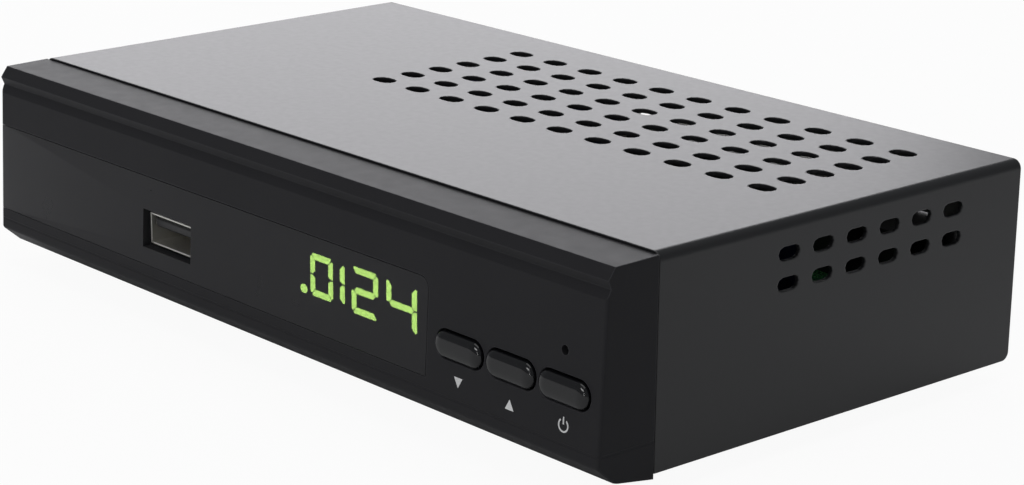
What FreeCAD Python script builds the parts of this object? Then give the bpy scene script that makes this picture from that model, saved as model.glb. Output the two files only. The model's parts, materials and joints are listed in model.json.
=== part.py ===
import FreeCAD, Part
import math
import os
import re
import Sketcher

# A compact satellite television receiver, in millimetres.
# X runs to the right seen from the front, Y to the back, Z up, with the floor at 0.
# Drawing heights run from the floor and drawing depths from the plane of the front face.

SIZES = {
    # case
    "body_width": 168.0,
    "body_depth": 95.0,
    "case_height": 36.1,
    "floor_gap": 3.0,
    "cover_raise": 1.0,
    "cover_steel": 0.8,
    "chassis_steel": 0.8,
    "bend_radius": 1.6,
    "slide_gap": 0.1,
    "seam_gap": 0.15,
    "rear_inset": 1.0,
    "corner_cut": 1.5,
    # vents in the cover
    "vent_long": 5.2,
    "vent_wide": 3.4,
    "vent_columns": 11,
    "vent_rows": 6,
    "vent_pitch_across": 9.65,
    "vent_pitch_deep": 6.81,
    "vent_first_across": -28.0,
    "vent_first_deep": 49.1,
    "side_vent_long": 4.9,
    "side_vent_high": 2.3,
    "side_vent_columns": 6,
    "side_vent_rows": 2,
    "side_vent_pitch": 7.76,
    "side_vent_pitch_high": 5.0,
    "side_vent_first": 39.2,
    "side_vent_low": 28.7,
    # tabs and screws that hold the cover at the back
    "tab_wide": 12.0,
    "tab_drop": 7.0,
    "tab_spacing": 70.0,
    "tab_screw_drop": 3.8,
    "screw_radius": 1.25,
    "screw_head_radius": 2.8,
    "screw_head_high": 1.9,
    "screw_long": 6.0,
    "screw_hole_radius": 1.3,
    "screw_clearance": 0.35,
    # chassis
    "flange_high": 8.0,
    "lip_high": 4.0,
    "end_round": 0.5,
    "chin_round": 0.8,
    "standoff_radius": 3.6,
    "standoff_top_radius": 2.6,
    "floor_vent_long": 18.0,
    "floor_vent_wide": 2.4,
    "floor_vent_count": 9,
    "floor_vent_pitch": 6.0,
    "foot_radius": 5.0,
    "foot_inset_across": 18.0,
    "foot_front_deep": 22.0,
    "foot_rear_deep": 80.0,
    # bezel profile, heights above its lowest edge
    "bezel_depth": 11.0,
    "bezel_wall": 2.0,
    "bezel_top_high": 35.75,
    "bezel_brow_deep": 2.1,
    "bezel_brow_high": 35.6,
    "bezel_lip_deep": 0.7,
    "bezel_lip_high": 33.7,
    "groove_deep": 1.3,
    "groove_high": 32.3,
    "face_top_deep": 0.6,
    "face_top_high": 30.75,
    "face_lean": 1.2,
    "face_low_high": 4.4,
    "chin_deep": 2.9,
    "chin_high": 1.4,
    "heel_high": 0.15,
    "bezel_inside_front": 2.6,
    "tongue_long": 3.5,
    "tongue_thick": 1.4,
    "hook_wide": 8.0,
    "hook_thick": 1.2,
    "hook_catch": 1.0,
    "hook_spacing": 44.0,
    # smoked strip let into the face
    "window_low": 8.3,
    "window_high": 24.5,
    "window_right": 43.5,
    "window_back": 1.3,
    "window_corner": 2.0,
    "window_gap": 0.12,
    # front openings
    "usb_across": -28.65,
    "usb_high": 14.95,
    "usb_hole_wide": 14.7,
    "usb_hole_high": 7.0,
    "led_across": 75.5,
    "led_high": 21.0,
    "led_hole_radius": 0.8,
    "led_radius": 1.5,
    # keys
    "key_first_across": 51.5,
    "key_pitch": 12.15,
    "key_high": 14.85,
    "key_hole_long": 11.9,
    "key_hole_wide": 5.2,
    "key_gap": 0.4,
    "key_stand": 1.0,
    "key_crown": 0.9,
    "key_shoulder": 0.3,
    "key_flange_wide": 11.4,
    "key_flange_high": 8.4,
    "key_flange_thick": 1.2,
    "key_rest_gap": 0.05,
    "key_travel": 0.3,
    "key_post_radius": 1.6,
    # push switches
    "switch_wide": 6.0,
    "switch_high": 3.5,
    "stem_radius": 1.75,
    "stem_stand": 0.9,
    "stem_fit": 0.05,
    "stem_sunk": 0.8,
    # front board
    "board_thick": 1.6,
    "front_board_deep": 9.4,
    "front_board_left": -14.0,
    "front_board_right": 80.0,
    "front_board_low": 7.0,
    "front_board_high": 31.5,
    "post_radius": 2.6,
    "post_high": 28.5,
    "post_first": -9.0,
    "post_spacing": 42.25,
    "display_across": 23.3,
    "display_high": 17.3,
    "display_wide": 32.0,
    "display_tall": 11.4,
    "display_front": 1.9,
    "display_gap": 0.4,
    "segment_thick": 0.1,
    "segment_pointed": 0.12,
    "digit_level": 17.15,
    "dot_across": 8.8,
    "dot_high": 14.0,
    "dot_size": 1.6,
    "stroke": 1.15,
    "eye_across": -4.0,
    "eye_high": 16.0,
    "eye_wide": 6.0,
    "eye_tall": 7.0,
    # main board
    "main_board_wide": 146.0,
    "main_board_front": 13.5,
    "main_board_rear_gap": 2.0,
    "board_tongue_wide": 22.0,
    "board_tongue_deep": 6.0,
    "board_hole_spacing": 132.0,
    "board_hole_front": 20.0,
    "board_hole_rear": 55.0,
    # front receptacle
    "usb_shell_wide": 13.1,
    "usb_shell_high": 5.7,
    "usb_shell_long": 14.0,
    "usb_shell_thick": 0.3,
    "usb_shell_front": 1.0,
    "usb_tongue_wide": 11.1,
    "usb_tongue_thick": 1.84,
    "usb_tongue_drop": 0.5,
    "usb_tongue_set": 0.6,
    "usb_block_long": 4.6,
    "usb_contact_wide": 1.0,
    "usb_contact_thick": 0.25,
    "usb_contact_pitch": 2.3,
    # aerial input and tuner
    "aerial_across": -62.0,
    "aerial_rise": 8.5,
    "aerial_radius": 4.76,
    "aerial_reach": 10.5,
    "aerial_bore": 2.9,
    "aerial_relief": 0.3,
    "aerial_core_hole": 0.6,
    "aerial_fit": 0.05,
    "nut_across_flats": 11.0,
    "nut_thick": 2.4,
    "washer_radius": 7.0,
    "washer_thick": 0.6,
    "aerial_flange": 6.4,
    "tuner_left": -72.0,
    "tuner_wide": 30.0,
    "tin_thick": 0.4,
    "tuner_deep": 32.0,
    "tuner_high": 13.0,
    # picture and sound sockets
    "hdmi_across": -24.5,
    "hdmi_wide": 15.0,
    "hdmi_high": 5.6,
    "hdmi_long": 11.5,
    "hdmi_reach": 0.8,
    "hdmi_shell_thick": 0.4,
    "hdmi_corner": 1.5,
    "scart_across": 18.5,
    "scart_wide": 48.0,
    "scart_high": 15.4,
    "scart_long": 13.0,
    "scart_reach": 5.0,
    "scart_shell_thick": 0.5,
    "scart_corner": 4.0,
    "scart_groove": 1.6,
    "scart_pitch": 3.81,
    "scart_row": 4.4,
    "scart_slot_wide": 1.2,
    "scart_slot_high": 3.2,
    "scart_slot_deep": 8.0,
    "coax_across": 53.0,
    "coax_rise": 7.5,
    "coax_radius": 4.15,
    "coax_reach": 9.0,
    "coax_wall": 0.55,
    "coax_relief": 0.25,
    "coax_core_hole": 1.65,
    "coax_collar_radius": 5.6,
    "coax_block_wide": 11.0,
    "coax_block_deep": 12.0,
    "coax_block_high": 13.5,
    "power_across": 68.0,
    "power_wide": 9.0,
    "power_high": 11.0,
    "power_long": 14.0,
    "power_bore": 3.15,
    "power_pin": 1.05,
    "power_bore_deep": 9.5,
    "panel_play": 0.3,
    # parts on the main board
    "chip_wide": 17.0,
    "chip_thick": 1.6,
    "chip_across": 12.0,
    "chip_deep": 38.0,
    "sink_wide": 27.0,
    "sink_high": 9.0,
    "sink_base": 2.0,
    "fin_thick": 1.0,
    "fin_count": 7,
    "memory_wide": 13.0,
    "memory_deep": 8.0,
    "memory_thick": 1.2,
    "flash_wide": 5.2,
    "crystal_long": 11.0,
    "crystal_wide": 4.6,
    "crystal_high": 3.5,
    "can_radius": 4.0,
    "can_high": 16.0,
    "wide_can_radius": 5.0,
    "wide_can_high": 20.5,
    "coil_wide": 7.5,
    "coil_high": 4.5,
    "regulator_wide": 6.5,
    # cable between the boards
    "plug_wide": 13.0,
    "plug_deep": 5.8,
    "plug_high": 7.0,
    "plug_across": 47.0,
    "plug_at_deep": 33.0,
    "socket_high": 24.0,
    "socket_reach": 5.0,
    "ribbon_wide": 11.0,
    "ribbon_thick": 0.9,
}

# Places worked out from the sizes.
PLACES = {
    "half_width": "body_width / 2",
    "case_top": "floor_gap + case_height",
    "cover_low": "floor_gap + cover_raise",
    "cover_under": "case_top - cover_steel",
    "cover_front": "bezel_depth + seam_gap",
    "cover_inside": "half_width - cover_steel",
    "chassis_side": "cover_inside - slide_gap",
    "chassis_top": "cover_low + chassis_steel",
    "chassis_front": "bezel_depth + seam_gap",
    "panel_back": "body_depth - rear_inset",
    "panel_face": "panel_back - chassis_steel",
    "tab_back": "panel_face - slide_gap",
    "tab_front": "tab_back - cover_steel",
    "cover_screw_high": "cover_under - tab_screw_drop",
    "inside_low": "floor_gap + chin_high + 0.8 * bezel_wall",
    "inside_high": "tongue_high - tongue_thick - 0.3",
    "tongue_high": "cover_under - slide_gap",
    "lip_top": "cover_low + lip_high",
    "lip_back": "chassis_front + chassis_steel",
    "key_level": "floor_gap + key_high",
    "key_face": "face_top_deep - face_lean * (face_top_high - key_high) / (face_top_high - face_low_high)",
    "key_front": "key_face - key_stand",
    "flange_front": "bezel_inside_front + key_rest_gap",
    "stem_front": "front_board_deep - switch_high - stem_stand",
    "board_top": "usb_level - usb_shell_high / 2",
    "board_low": "board_top - board_thick",
    "main_board_rear": "panel_face - main_board_rear_gap",
    "usb_level": "floor_gap + usb_high",
    "rear_end": "panel_back + aerial_reach",
    "middle_deep": "(rear_end + key_front) / 2",
    "aerial_level": "board_top + aerial_rise",
    "nut_radius": "nut_across_flats / 2 / cos(30)",
    "coax_level": "board_top + coax_rise",
    "power_level": "board_top + power_high / 2",
    "hdmi_level": "board_top + 0.3 + hdmi_high / 2",
    "scart_level": "board_top + 0.3 + scart_high / 2",
    "sink_low": "board_top + chip_thick",
    "front_board_back": "front_board_deep + board_thick",
}

doc = FreeCAD.newDocument("receiver")
sheet = doc.addObject("Spreadsheet::Sheet", "sizes")
for row, (name, number) in enumerate(SIZES.items(), 1):
    sheet.set(f"A{row}", name)
    sheet.set(f"B{row}", str(number))
    sheet.setAlias(f"B{row}", name)
doc.recompute()

RIBBON_BENDS = 8
ROLES = {"XY": "XY_Plane", "XZ": "XZ_Plane", "YZ": "YZ_Plane"}
AXES = {"X": "X_Axis", "Y": "Y_Axis", "Z": "Z_Axis"}
ALONG = {
    "X": FreeCAD.Rotation(FreeCAD.Vector(0, 1, 0), 90),
    "Y": FreeCAD.Rotation(FreeCAD.Vector(1, 0, 0), -90),
    "Z": FreeCAD.Rotation(),
}
pieces = []


def formula(text):
    """The text as an expression: each size becomes a cell of the sheet, each place its own formula."""

    def spell(match):
        name = match.group(0)
        if name in SIZES:
            return f"sizes.{name}"
        if name in PLACES:
            return f"({formula(PLACES[name])})"
        return name

    return re.sub(r"[a-z][a-z_]+", spell, str(text))


def value(text):
    """The number that a formula comes to."""
    return float(sheet.evalExpression(formula(text)))


def bind(thing, prop, text):
    thing.setExpression(prop, formula(text))


def pin(sketch, edge, end, x, y):
    """Holds one point of a sketch at two formulas, measured from the sketch's origin."""
    for kind, text in (("DistanceX", x), ("DistanceY", y)):
        held = sketch.addConstraint(Sketcher.Constraint(kind, -1, 1, edge, end, value(text)))
        bind(sketch, f"Constraints[{held}]", text)


def polygon(sketch, corners):
    """A closed outline of straight edges through the corners."""
    points = [FreeCAD.Vector(value(x), value(y), 0) for x, y in corners]
    first = sketch.GeometryCount
    for start, stop in zip(points, points[1:] + points[:1]):
        sketch.addGeometry(Part.LineSegment(start, stop), False)
    for k, (x, y) in enumerate(corners):
        before = first + (k - 1) % len(corners)
        sketch.addConstraint(Sketcher.Constraint("Coincident", before, 2, first + k, 1))
        pin(sketch, first + k, 1, x, y)


def rectangle(sketch, left, right, low, high):
    polygon(sketch, [(left, low), (right, low), (right, high), (left, high)])


def circle(sketch, x, y, radius):
    centre = FreeCAD.Vector(value(x), value(y), 0)
    edge = sketch.addGeometry(Part.Circle(centre, FreeCAD.Vector(0, 0, 1), value(radius)), False)
    pin(sketch, edge, 3, x, y)
    held = sketch.addConstraint(Sketcher.Constraint("Radius", edge, value(radius)))
    bind(sketch, f"Constraints[{held}]", radius)


def pill(sketch, x, y, length, width):
    """An outline with straight long sides and half-round ends."""
    radius, reach = value(width) / 2, (value(length) - value(width)) / 2
    cx, cy = value(x), value(y)
    up, quarter = FreeCAD.Vector(0, 0, 1), math.pi / 2
    right = Part.Circle(FreeCAD.Vector(cx + reach, cy, 0), up, radius)
    left = Part.Circle(FreeCAD.Vector(cx - reach, cy, 0), up, radius)
    a = sketch.addGeometry(Part.ArcOfCircle(right, -quarter, quarter), False)
    b = sketch.addGeometry(Part.ArcOfCircle(left, quarter, 3 * quarter), False)
    over = (FreeCAD.Vector(cx + reach, cy + radius, 0), FreeCAD.Vector(cx - reach, cy + radius, 0))
    under = (FreeCAD.Vector(cx - reach, cy - radius, 0), FreeCAD.Vector(cx + reach, cy - radius, 0))
    c = sketch.addGeometry(Part.LineSegment(*over), False)
    d = sketch.addGeometry(Part.LineSegment(*under), False)
    for one, its_end, other, other_end in ((a, 2, c, 1), (c, 2, b, 1), (b, 2, d, 1), (d, 2, a, 1)):
        sketch.addConstraint(Sketcher.Constraint("Tangent", one, its_end, other, other_end))
    pin(sketch, a, 3, f"{x} + ({length} - {width}) / 2", y)
    pin(sketch, b, 3, f"{x} - ({length} - {width}) / 2", y)
    held = sketch.addConstraint(Sketcher.Constraint("Radius", a, radius))
    bind(sketch, f"Constraints[{held}]", f"({width}) / 2")


def slot_corners(x, y, length, width, edges=5):
    """The corners of a slot whose round ends are drawn with a few straight edges each."""
    corners = []
    for side, start in ((1, -90), (-1, 90)):
        for k in range(edges + 1):
            turn = start + 180 * k / edges
            across = f"{x} + {side} * ({length} - {width}) / 2 + {width} / 2 * cos({turn})"
            corners.append((across, f"{y} + {width} / 2 * sin({turn})"))
    return corners


class Piece:
    """One separate part: a body placed in the receiver, whose features follow the sheet."""

    def __init__(self, label, x="0", y="0", z="0"):
        self.body = doc.addObject("PartDesign::Body", label)
        self.body.Label = label
        self.planes = {}
        for axis, text in (("x", x), ("y", f"{y} - middle_deep"), ("z", z)):
            bind(self.body, f"Placement.Base.{axis}", text)
        pieces.append(self.body)

    def origin(self, role):
        return next(f for f in self.body.Origin.OriginFeatures if f.Role == role)

    def add(self, kind):
        return self.body.newObject(f"PartDesign::{kind}", kind)

    def sketch(self, plane, offset="0"):
        """A sketch parallel to an origin plane, offset along the plane's positive axis."""
        drawn = self.body.newObject("Sketcher::SketchObject", "Sketch")
        drawn.AttachmentSupport = (self.origin(ROLES[plane]), [""])
        drawn.MapMode = "FlatFace"
        sign = "-1 * " if plane == "XZ" else ""
        bind(drawn, "AttachmentOffset.Base.z", f"{sign}({offset})")
        self.planes[drawn.Name] = plane
        return drawn

    def extrude(self, drawn, length, cut=False):
        """Pads or pockets a sketch towards the positive side of its plane."""
        feature = self.add("Pocket" if cut else "Pad")
        feature.Profile = drawn
        bind(feature, "Length", length)
        feature.Reversed = (self.planes[drawn.Name] == "XZ") != cut
        return feature

    def shaped(self, plane, start, length, outline, cut=False):
        """A pad or pocket of the outline that a drawing function makes."""
        drawn = self.sketch(plane, start)
        outline(drawn)
        return self.extrude(drawn, length, cut)

    def block(self, x, y, z, cut=False):
        """A box between two formulas along each axis."""
        feature = self.add("SubtractiveBox" if cut else "AdditiveBox")
        for axis, prop, (low, high) in zip("xyz", ("Length", "Width", "Height"), (x, y, z)):
            bind(feature, f"Placement.Base.{axis}", low)
            bind(feature, prop, f"({high}) - ({low})")
        return feature

    def rod(self, axis, x, y, z, radius, length, cut=False):
        """A cylinder that starts at a point and runs along an axis."""
        feature = self.add("SubtractiveCylinder" if cut else "AdditiveCylinder")
        feature.Placement = FreeCAD.Placement(FreeCAD.Vector(), ALONG[axis])
        for name, text in zip("xyz", (x, y, z)):
            bind(feature, f"Placement.Base.{name}", text)
        bind(feature, "Radius", radius)
        bind(feature, "Height", length)
        return feature

    def turned(self, drawn, cut=False):
        """Revolves a sketch round its own vertical axis."""
        feature = self.add("Groove" if cut else "Revolution")
        feature.Profile = drawn
        feature.ReferenceAxis = (drawn, ["V_Axis"])
        return feature

    def repeat(self, feature, *runs):
        """Repeats a feature along one or more axes, each given with its pitch and count."""
        together = self.add("MultiTransform")
        together.Originals = [feature]
        patterns = []
        for axis, pitch, count in runs:
            pattern = self.add("LinearPattern")
            pattern.Direction = (self.origin(AXES[axis]), [""])
            pattern.Mode = "Spacing"
            bind(pattern, "Offset", pitch)
            bind(pattern, "Occurrences", count)
            patterns.append(pattern)
        together.Transformations = patterns
        self.body.Tip = together
        return together

    def dress(self, kind, chosen, amount):
        """Fillets or chamfers the edges that the test chooses by their middle and direction."""
        doc.recompute()
        tip = self.body.Tip
        names = []
        for k, edge in enumerate(tip.Shape.Edges, 1):
            middle = edge.BoundBox.Center
            span = FreeCAD.Vector(edge.BoundBox.XLength, edge.BoundBox.YLength, edge.BoundBox.ZLength)
            if chosen(middle, span):
                names.append(f"Edge{k}")
        feature = self.add(kind)
        feature.Base = (tip, names)
        bind(feature, "Radius" if kind == "Fillet" else "Size", amount)
        return feature


def near(number, text, slack=0.01):
    return abs(number - value(text)) < slack


def copies(label, solids, x="0", y="0", z="0"):
    """Several alike solids as one compound, placed in the receiver."""
    group = doc.addObject("Part::Feature", label)
    group.Label = label
    group.Shape = Part.makeCompound(solids)
    for axis, text in (("x", x), ("y", f"{y} - middle_deep"), ("z", z)):
        bind(group, f"Placement.Base.{axis}", text)
    pieces.append(group)
    return group


def face_at(height):
    """How deep the leaning front face lies at a height over the floor."""
    rise = f"(floor_gap + face_top_high - ({height}))"
    return f"(face_top_deep - face_lean * {rise} / (face_top_high - face_low_high))"


def sided(profile, sides, x=0, y=0, z=0):
    """A round piece drawn with a few flat sides, from corners given as radius and height."""
    rings = []
    for radius, height in profile:
        turns = [2 * math.pi * k / sides for k in range(sides + 1)]
        points = [FreeCAD.Vector(x + radius * math.cos(t), y + radius * math.sin(t), z + height) for t in turns]
        rings.append(Part.makePolygon(points))
    return Part.makeLoft(rings, True, True)


def screw(head_radius, head_high, radius, length):
    """A pan-head screw with a cross recess, its head standing on the origin and its shank below."""
    crown = [(head_radius, 0), (head_radius, head_high * 0.45), (head_radius * 0.72, head_high)]
    shank = [(radius * 0.6, -length), (radius, -length + radius * 0.5), (radius, 0)]
    solid = sided(crown, 12).fuse(sided(shank, 10))
    arm, depth = head_radius * 0.6, head_high * 0.5
    for wide, deep in ((arm, arm * 0.2), (arm * 0.2, arm)):
        solid = solid.cut(Part.makeBox(2 * wide, 2 * deep, 2 * depth, FreeCAD.Vector(-wide, -deep, head_high - depth)))
    return solid.removeSplitter()


def screws(label, axis, points, x="0", y="0", z="0"):
    """Screws driven against an axis, with their heads on the given points."""
    sizes = [value(name) for name in ("screw_head_radius", "screw_head_high", "screw_radius", "screw_long")]
    one = screw(*sizes)
    solids = []
    for point in points:
        other = one.copy()
        other.Placement = FreeCAD.Placement(FreeCAD.Vector(*[value(text) for text in point]), ALONG[axis])
        solids.append(other)
    return copies(label, solids, x, y, z)


def box_solid(x, y, z):
    """A box between two numbers along each axis."""
    low = FreeCAD.Vector(x[0], y[0], z[0])
    return Part.makeBox(x[1] - x[0], y[1] - y[0], z[1] - z[0], low)


def make_cover():
    """The folded steel lid: a top with two sides, its vents and the tabs for its screws."""
    cover = Piece("top_cover")
    outline = [
        ("-half_width", "cover_low"), ("-half_width", "case_top"), ("half_width", "case_top"),
        ("half_width", "cover_low"), ("cover_inside", "cover_low"), ("cover_inside", "cover_under"),
        ("-cover_inside", "cover_under"), ("-cover_inside", "cover_low"),
    ]
    cover.shaped("XZ", "cover_front", "body_depth - cover_front", lambda s: polygon(s, outline))
    cover.dress("Fillet", lambda m, s: s.y > 50 and near(m.z, "case_top"), "bend_radius")
    cover.dress("Fillet", lambda m, s: s.y > 50 and near(m.z, "cover_under"), "bend_radius - cover_steel")
    cover.dress("Fillet", lambda m, s: near(m.y, "body_depth") and near(m.z, "cover_low"), "corner_cut")
    for side in (-1, 0, 1):
        middle = f"{side} * tab_spacing"
        cover.block(
            (f"{middle} - tab_wide / 2", f"{middle} + tab_wide / 2"),
            ("tab_front", "tab_back"),
            ("cover_under - tab_drop", "cover_under + cover_steel / 2"),
        )
        cover.rod("Y", middle, "tab_front - 1", "cover_screw_high", "screw_hole_radius", "3", cut=True)
    top = slot_corners("vent_first_across", "vent_first_deep", "vent_long", "vent_wide")
    hole = cover.shaped("XY", "cover_under - 1", "cover_steel + 2", lambda s: polygon(s, top), cut=True)
    cover.repeat(hole, ("X", "vent_pitch_across", "vent_columns"), ("Y", "vent_pitch_deep", "vent_rows"))
    side = slot_corners("side_vent_first", "side_vent_low", "side_vent_long", "side_vent_high", 4)
    hole = cover.shaped("YZ", "-half_width - 1", "body_width + 2", lambda s: polygon(s, side), cut=True)
    along, up = ("Y", "side_vent_pitch", "side_vent_columns"), ("Z", "side_vent_pitch_high", "side_vent_rows")
    cover.repeat(hole, along, up)


def rear_openings(drawn):
    """The holes of the rear panel, each the outline of its socket with some play."""
    circle(drawn, "aerial_across", "aerial_level", "aerial_radius + panel_play")
    circle(drawn, "coax_across", "coax_level", "coax_collar_radius + panel_play")
    for name in ("hdmi", "scart", "power"):
        wide, high = f"{name}_wide / 2 + panel_play", f"{name}_high / 2 + panel_play"
        rectangle(
            drawn,
            f"{name}_across - ({wide})", f"{name}_across + ({wide})",
            f"{name}_level - ({high})", f"{name}_level + ({high})",
        )
    for side in (-1, 0, 1):
        circle(drawn, f"{side} * tab_spacing", "cover_screw_high", "screw_radius + screw_clearance")


def make_chassis():
    """The folded tray: floor, side flanges, front lip, rear panel and the raised board supports."""
    chassis = Piece("bottom_chassis")
    outline = [
        ("-chassis_side", "cover_low"), ("chassis_side", "cover_low"),
        ("chassis_side", "cover_low + flange_high"),
        ("chassis_side - chassis_steel", "cover_low + flange_high"),
        ("chassis_side - chassis_steel", "chassis_top"), ("chassis_steel - chassis_side", "chassis_top"),
        ("chassis_steel - chassis_side", "cover_low + flange_high"),
        ("-chassis_side", "cover_low + flange_high"),
    ]
    chassis.shaped("XZ", "chassis_front", "panel_back - chassis_front", lambda s: polygon(s, outline))
    across = ("-chassis_side", "chassis_side")
    chassis.block(across, ("chassis_front", "lip_back"), ("cover_low", "lip_top"))
    chassis.block(across, ("panel_face", "panel_back"), ("cover_low", "cover_under - slide_gap"))
    chassis.dress("Fillet", lambda m, s: s.y > 50 and near(m.z, "cover_low"), "chassis_steel")
    chassis.shaped("XZ", "panel_face - 1", "chassis_steel + 2", rear_openings, cut=True)
    vent = [(x, y) for y, x in slot_corners("chassis_front + 22", "-24", "floor_vent_long", "floor_vent_wide", 3)]
    hole = chassis.shaped("XY", "cover_low - 1", "chassis_steel + 2", lambda s: polygon(s, vent), cut=True)
    chassis.repeat(hole, ("X", "floor_vent_pitch", "floor_vent_count"), ("Y", "floor_vent_long + 6", "2"))
    for x, y in board_holes():
        cone = chassis.add("AdditiveCone")
        for axis, text in zip("xyz", (x, y, "chassis_top")):
            bind(cone, f"Placement.Base.{axis}", text)
        bind(cone, "Radius1", "standoff_radius")
        bind(cone, "Radius2", "standoff_top_radius")
        bind(cone, "Height", "board_low - chassis_top")
        chassis.rod("Z", x, y, "cover_low - 1", "screw_hole_radius", "board_low - cover_low + 2", cut=True)


def board_holes():
    """The centres of the main board's four screws."""
    sides = ("-board_hole_spacing / 2", "board_hole_spacing / 2")
    return [(x, y) for x in sides for y in ("board_hole_front", "board_hole_rear")]


def make_feet():
    """Four rubber feet, wider at the chassis than at the floor."""
    radius, high = value("foot_radius"), value("cover_low")
    profile = [(radius - 1.1, 0), (radius - 0.5, 0.5), (radius, high)]
    out = value("half_width - foot_inset_across")
    deeps = (value("foot_front_deep"), value("foot_rear_deep"))
    copies("rubber_feet", [sided(profile, 24, x, y) for x in (-out, out) for y in deeps])


BEZEL_SKIN = [
    ("bezel_depth", "floor_gap + bezel_top_high"),
    ("bezel_brow_deep", "floor_gap + bezel_brow_high"),
    ("bezel_lip_deep", "floor_gap + bezel_lip_high"),
    ("groove_deep", "floor_gap + groove_high"),
    ("face_top_deep", "floor_gap + face_top_high"),
    ("face_top_deep - face_lean", "floor_gap + face_low_high"),
    ("chin_deep", "floor_gap + chin_high"),
    ("bezel_depth", "floor_gap + heel_high"),
]


def window_outline(drawn, gap):
    """The smoked strip's outline, grown by a gap; its left end is open at the side of the case."""
    rectangle(
        drawn, "-half_width", f"window_right + {gap}",
        f"floor_gap + window_low - {gap}", f"floor_gap + window_high + {gap}",
    )


def make_bezel():
    """The moulded front: a hollow shell with a brow, a groove, a leaning face and a chin."""
    bezel = Piece("front_bezel")
    bezel.shaped("YZ", "-half_width", "body_width", lambda s: polygon(s, BEZEL_SKIN))
    chin = "floor_gap + face_low_high"
    bezel.dress("Fillet", lambda m, s: s.x > 100 and near(m.z, chin) and m.y < 4, "chin_round")
    bezel.dress("Fillet", lambda m, s: abs(m.x) > 80 and m.y < 1 and s.z > 20, "end_round")
    inside = ("bezel_wall - half_width", "half_width - bezel_wall")
    bezel.block(inside, ("bezel_inside_front", "bezel_depth + 1"), ("inside_low", "inside_high"), cut=True)
    bezel.block(
        ("3 - cover_inside", "cover_inside - 3"), ("bezel_depth - 2", "bezel_depth + tongue_long"),
        ("tongue_high - tongue_thick", "tongue_high"),
    )
    root, tip = "bezel_depth - 2", "lip_back + slide_gap"
    hook = [
        (root, "inside_low - 0.5"), ("bezel_depth - 0.8", "inside_low - 0.5"),
        ("bezel_depth - 0.8", "lip_top + slide_gap"), (tip, "lip_top + slide_gap"),
        (tip, "lip_top + slide_gap - hook_catch"), (f"{tip} + 0.9", "lip_top + slide_gap - hook_catch"),
        (f"{tip} + 0.9", "lip_top + slide_gap"), (f"{tip} + 0.3", "lip_top + slide_gap + hook_thick"),
        (root, "lip_top + slide_gap + hook_thick"),
    ]
    first = bezel.shaped("YZ", "-1.5 * hook_spacing - hook_wide / 2", "hook_wide", lambda s: polygon(s, hook))
    bezel.repeat(first, ("X", "hook_spacing", "4"))
    post = bezel.rod(
        "Y", "post_first", "bezel_inside_front - 0.5", "floor_gap + post_high", "post_radius",
        "front_board_deep - bezel_inside_front + 0.5",
    )
    bezel.repeat(post, ("X", "post_spacing", "3"))
    pilot = bezel.rod(
        "Y", "post_first", "front_board_deep - screw_long", "floor_gap + post_high", "screw_hole_radius",
        "screw_long + 1", cut=True,
    )
    bezel.repeat(pilot, ("X", "post_spacing", "3"))
    bezel.shaped("XZ", "-3", "window_back + 3", lambda s: window_outline(s, "window_gap"), cut=True)
    bezel.dress("Fillet", lambda m, s: near(m.x, "window_right + window_gap") and s.x + s.z < 0.3
                and m.z > value("usb_level"), "window_corner + window_gap")
    bezel.shaped("XZ", "-3", "bezel_depth", front_openings, cut=True)
    keys = bezel.shaped("XZ", "-3", "bezel_depth", lambda s: pill(
        s, "key_first_across", "key_level", "key_hole_long", "key_hole_wide"), cut=True)
    bezel.repeat(keys, ("X", "key_pitch", "3"))


def front_openings(drawn):
    """The holes for the receptacle, the display, the remote-control eye and the standby light."""
    usb_opening(drawn)
    rectangle(
        drawn,
        "display_across - display_wide / 2 - display_gap", "display_across + display_wide / 2 + display_gap",
        "floor_gap + display_high - display_tall / 2 - display_gap",
        "floor_gap + display_high + display_tall / 2 + display_gap",
    )
    circle(drawn, "eye_across", "floor_gap + eye_high", "eye_wide / 2 + display_gap")
    circle(drawn, "led_across", "floor_gap + led_high", "led_hole_radius")


def usb_opening(drawn):
    rectangle(
        drawn, "usb_across - usb_hole_wide / 2", "usb_across + usb_hole_wide / 2",
        "usb_level - usb_hole_high / 2", "usb_level + usb_hole_high / 2",
    )


def make_window():
    """The smoked strip, flush with the leaning face and open round the receptacle."""
    window = Piece("display_window")
    low, high = "floor_gap + window_low", "floor_gap + window_high"
    window.shaped("XZ", "-2", "window_back + 2", lambda s: window_outline(s, "0"))
    window.dress("Fillet", lambda m, s: near(m.x, "window_right") and s.y > 2 and m.z > value("usb_level"),
                 "window_corner")
    front = [(face_at(f"{low} - 1"), f"{low} - 1"), (face_at(f"{high} + 1"), f"{high} + 1"),
             ("-4", f"{high} + 1"), ("-4", f"{low} - 1")]
    window.shaped("YZ", "-half_width - 1", "body_width", lambda s: polygon(s, front), cut=True)
    window.shaped("XZ", "-3", "6", usb_opening, cut=True)


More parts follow.
